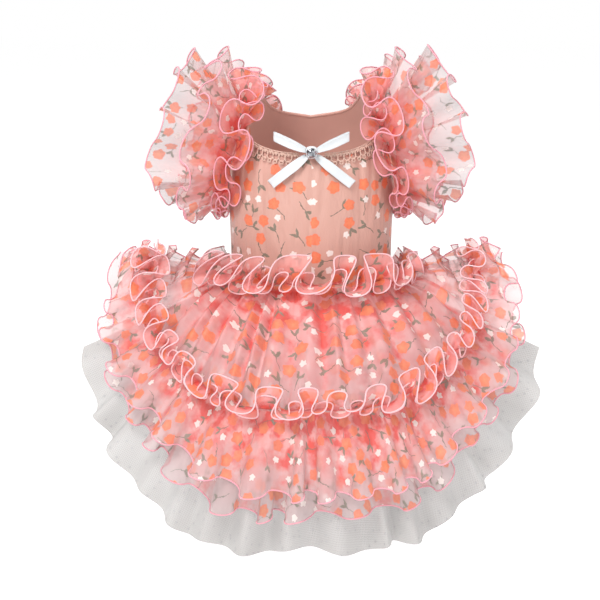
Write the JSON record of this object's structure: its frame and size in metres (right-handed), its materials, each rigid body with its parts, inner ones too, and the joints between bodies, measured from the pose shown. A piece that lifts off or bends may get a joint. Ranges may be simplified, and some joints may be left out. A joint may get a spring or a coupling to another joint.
{
  "type": "dog dress",
  "caption": "Small dog's party dress: satin bodice, organza flutter sleeves and ruffled tiered skirt over tulle, crochet neck edging and a ribbon bow with a stone.",
  "frame": {"origin": "on the torso's axis at the height of the waist seam, where the wearer's waist sits", "axes": "+Z from the waist to the neck along the torso; -Y the displayed side, the wearer's back, with the bow; +X to the right as it is seen from -Y"},
  "size_m": [0.3113, 0.2171, 0.3051],
  "materials": {
    "satin": "satin",
    "organza": "sheer",
    "tulle": "sheer",
    "crochet": "matt",
    "ribbon": "satin",
    "crystal": "gloss"
  },
  "bodies": {
    "root": {"bodice_back": "satin", "bodice_belly": "satin", "closure_placket": "satin", "neck_lace_left": "crochet", "neck_lace_right": "crochet", "bow_knot": "ribbon", "bow_loop_left": "ribbon", "bow_loop_right": "ribbon", "bow_tail_left": "ribbon", "bow_tail_right": "ribbon", "rhinestone": "crystal", "sleeve_outer_left": "organza", "sleeve_outer_right": "organza", "sleeve_inner_left": "organza", "sleeve_inner_right": "organza", "shoulder_frill_left": "organza", "shoulder_frill_right": "organza", "waist_ruffle": "organza", "overskirt": "organza", "mid_ruffle": "organza", "upper_flounce": "organza", "lower_flounce": "organza", "tulle_underskirt": "tulle"}
  },
  "joints": []
}
